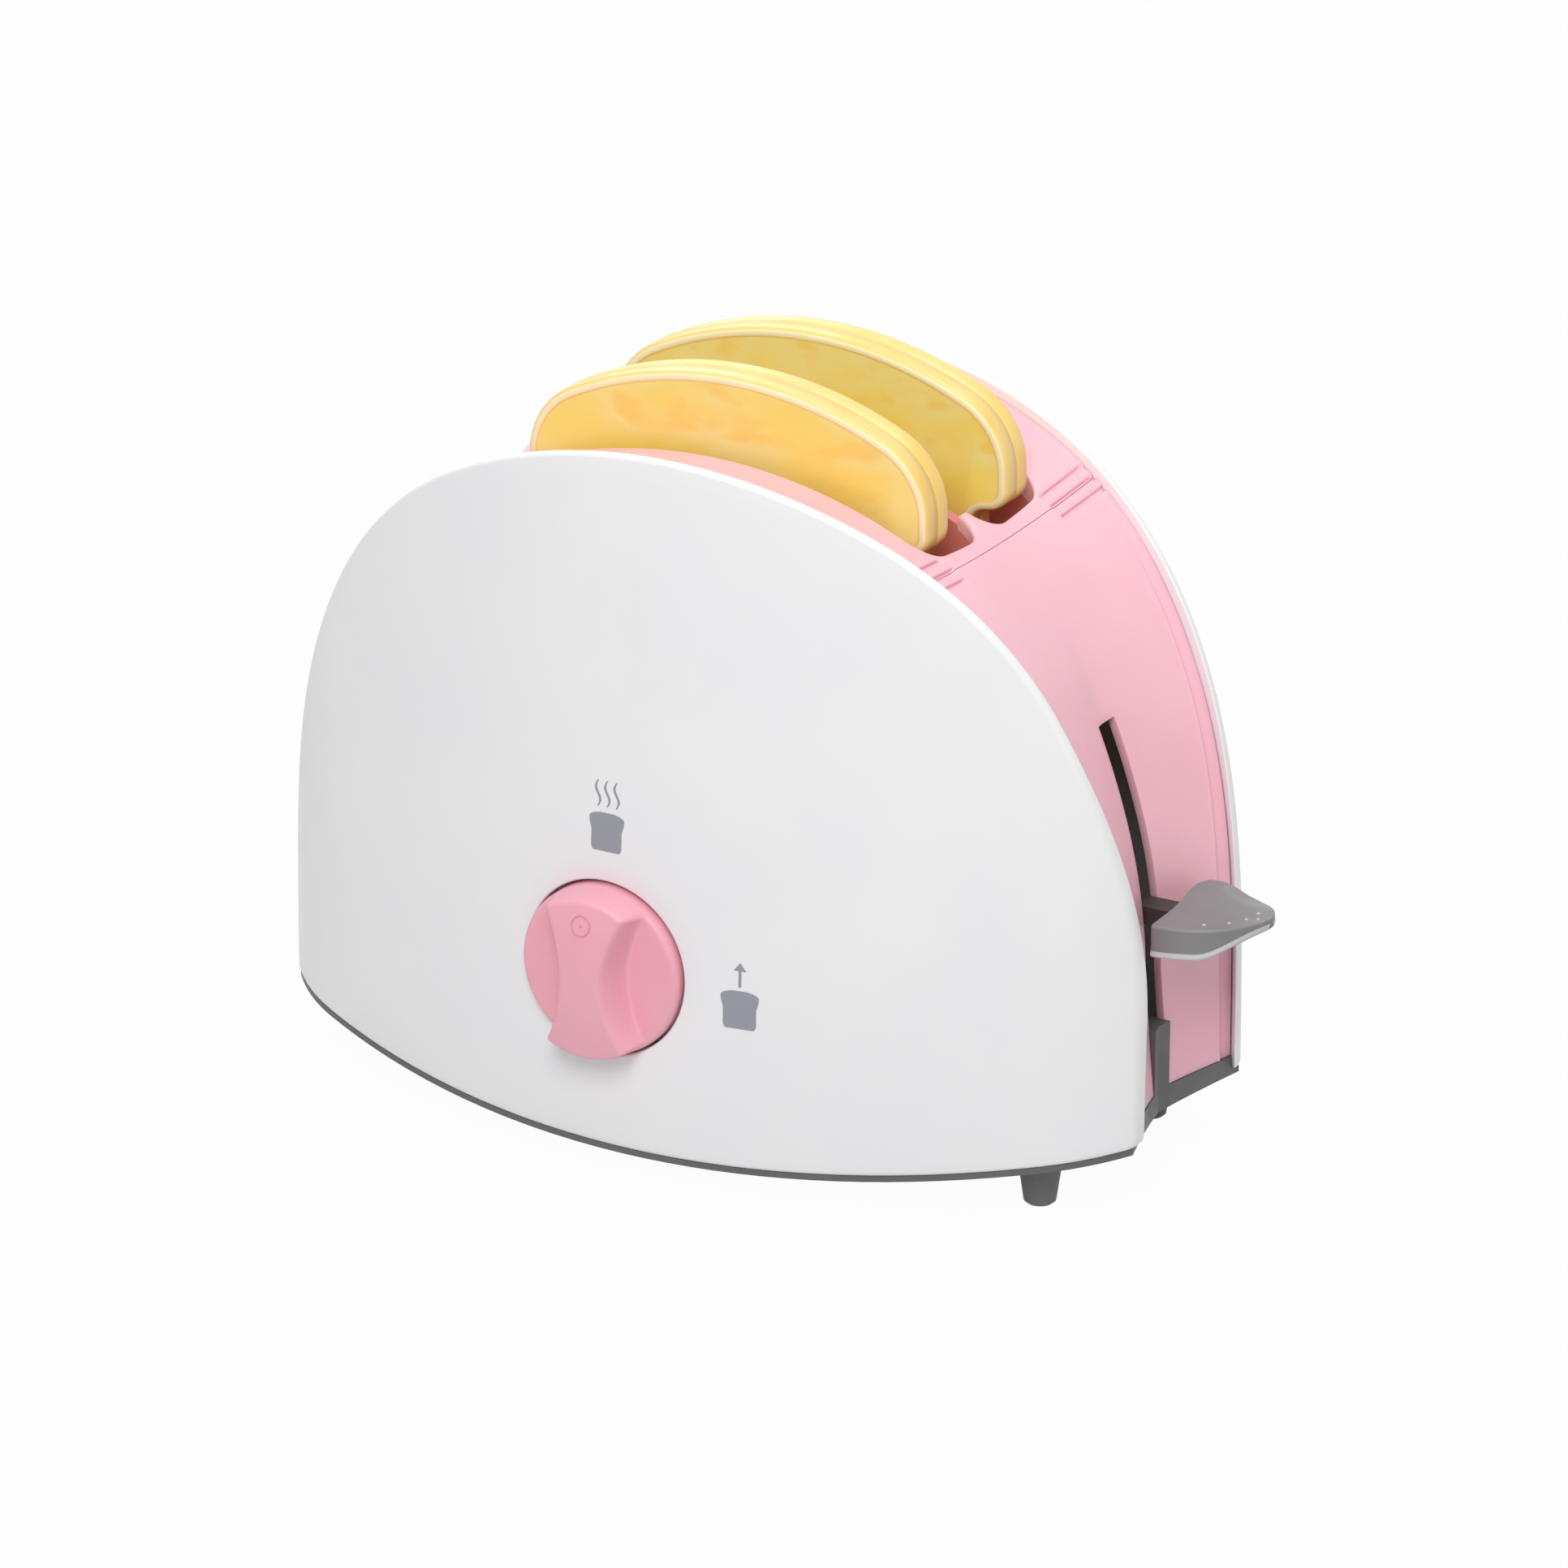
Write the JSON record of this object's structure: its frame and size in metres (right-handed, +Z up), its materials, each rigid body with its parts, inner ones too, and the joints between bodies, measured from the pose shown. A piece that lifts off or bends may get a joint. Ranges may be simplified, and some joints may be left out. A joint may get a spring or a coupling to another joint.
{
  "type": "toy toaster",
  "caption": "Toy pop-up toaster with bulged white panels, a dished pink body, a side lever on a sprung carriage, a turning knob and lift-out toy toast slices.",
  "frame": {"origin": "middle of the toaster's overall footprint, on the table", "axes": "+X along the body to the lever end, +Y from the knob face to the back, +Z up"},
  "size_m": [0.2175, 0.1198, 0.1642],
  "materials": {
    "white_shell": "gloss",
    "pink_shell": "gloss",
    "pink_knob": "gloss",
    "well": "satin",
    "grey_base": "matte",
    "grey_foot": "matte",
    "grey_paddle": "satin",
    "grey_inner": "matte",
    "steel": "satin",
    "toast": "satin"
  },
  "bodies": {
    "housing": {"front_panel": "white_shell", "rear_panel": "white_shell", "top_cover": "pink_shell", "lever_end_cover": "pink_shell", "plain_end_cover": "pink_shell", "bread_well": "well", "base": "grey_base", "base_screws": "steel", "guide_rod_front": "steel", "guide_rod_rear": "steel", "spring_front": "steel", "spring_rear": "steel", "shaft_bracket": "grey_inner", "foot_front_right": "grey_foot", "foot_rear_right": "grey_foot", "foot_front_left": "grey_foot", "foot_rear_left": "grey_foot"},
    "carriage": {"carriage": "grey_inner", "lever_paddle": "grey_paddle", "paddle_screw": "steel"},
    "knob": {"knob": "pink_knob", "knob_shaft": "grey_inner", "shaft_clip": "steel", "latch_hook": "grey_inner"},
    "toast_front": {"toast_front_a": "toast", "toast_front_b": "toast"},
    "toast_rear": {"toast_rear_a": "toast", "toast_rear_b": "toast"}
  },
  "joints": [
    {"name": "lever_slide", "type": "slide", "parent": "housing", "child": "carriage", "axis": [0, 0, 1], "range_m": [-0.021, 0.034], "stiffness_N_per_m": 28, "springref_m": 0.034, "deforming": ["spring_front", "spring_rear"]},
    {"name": "knob_turn", "type": "hinge", "parent": "housing", "child": "knob", "pos_m": [-0.01595, 0.00466, 0.0449], "axis": [0, 1, 0], "range_deg": [0, 90]},
    {"name": "toast_front_lift", "type": "slide", "parent": "carriage", "child": "toast_front", "axis": [0, 0, 1], "range_m": [0, 0.082]},
    {"name": "toast_rear_lift", "type": "slide", "parent": "carriage", "child": "toast_rear", "axis": [0, 0, 1], "range_m": [0, 0.082]}
  ]
}
